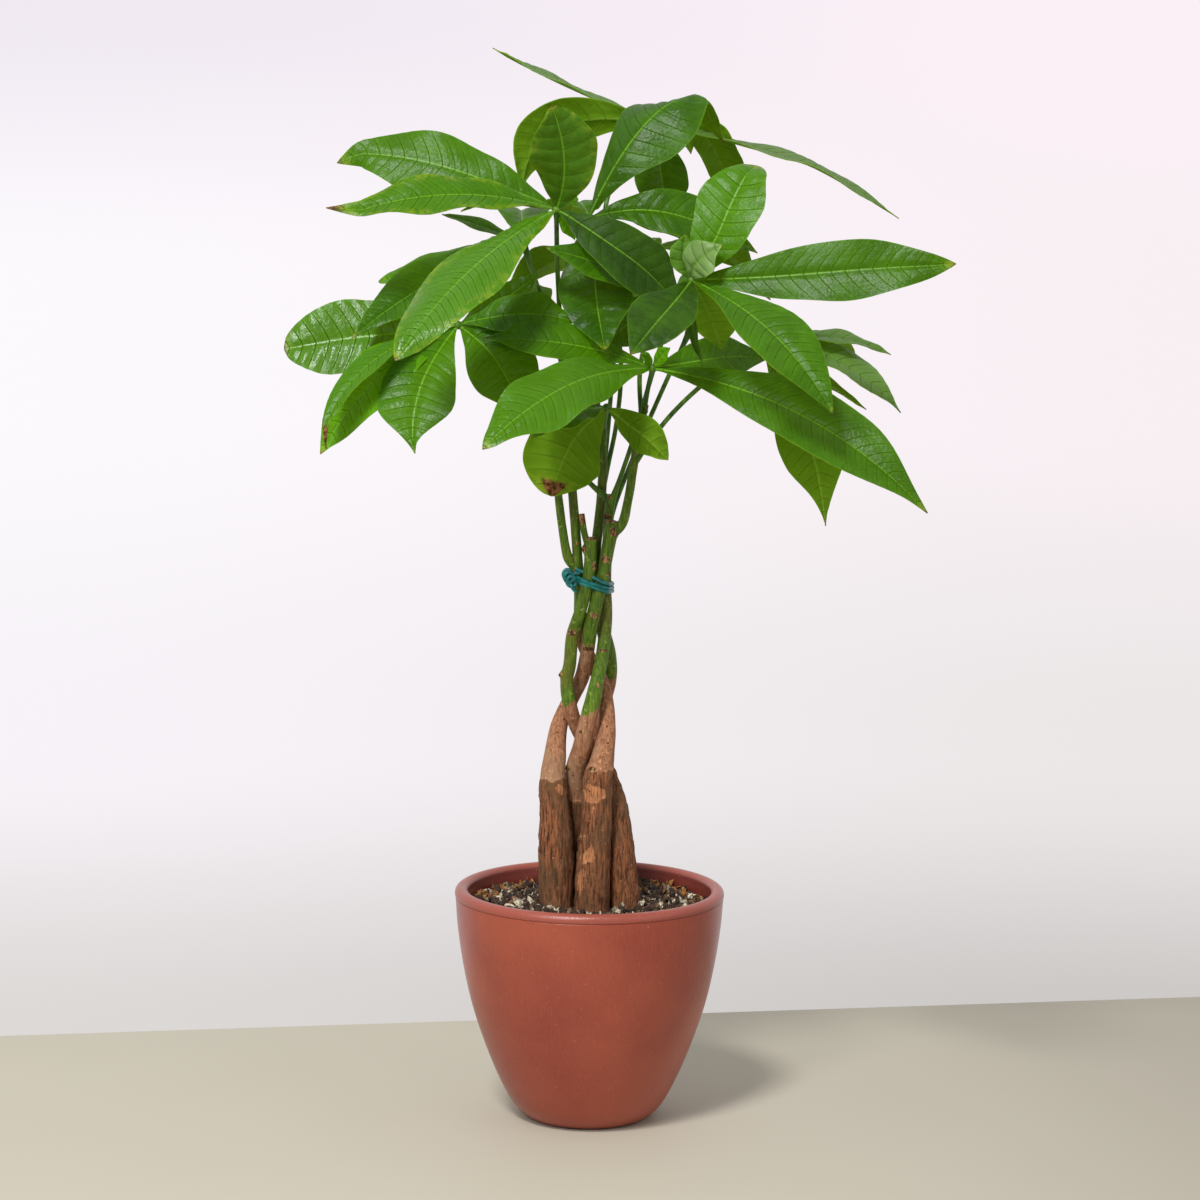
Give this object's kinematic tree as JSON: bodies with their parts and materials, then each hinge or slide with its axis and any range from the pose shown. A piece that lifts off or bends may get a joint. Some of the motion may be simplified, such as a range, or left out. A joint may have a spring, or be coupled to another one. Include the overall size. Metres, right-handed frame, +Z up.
{
  "type": "potted money tree",
  "caption": "Potted money tree with a braided trunk of woody stems, palmate leaves on long green stalks and a tapering round terracotta-coloured pot filled with soil.",
  "frame": {"origin": "middle of the pot's flat underside, where it stands", "axes": "+Z up along the pot's axis, -Y towards the viewer of the picture, +X to the viewer's right"},
  "size_m": [0.3934, 0.3308, 0.6534],
  "materials": {
    "pot": "satin",
    "soil": "rough, crumbly",
    "stem": "matte bark, green above",
    "tie": "satin",
    "leaf": "glossy leaf"
  },
  "bodies": {
    "root": {"pot": "pot", "soil": "soil", "stem_left": "stem", "stem_right": "stem", "stem_middle": "stem", "stem_front": "stem", "stem_back": "stem", "plant_tie": "tie", "frond_01": "leaf", "frond_02": "leaf", "frond_03": "leaf", "frond_04": "leaf", "frond_05": "leaf", "frond_06": "leaf", "frond_07": "leaf", "frond_08": "leaf", "frond_09": "leaf", "frond_10": "leaf", "frond_11": "leaf", "frond_12": "leaf", "frond_13": "leaf"}
  },
  "joints": []
}
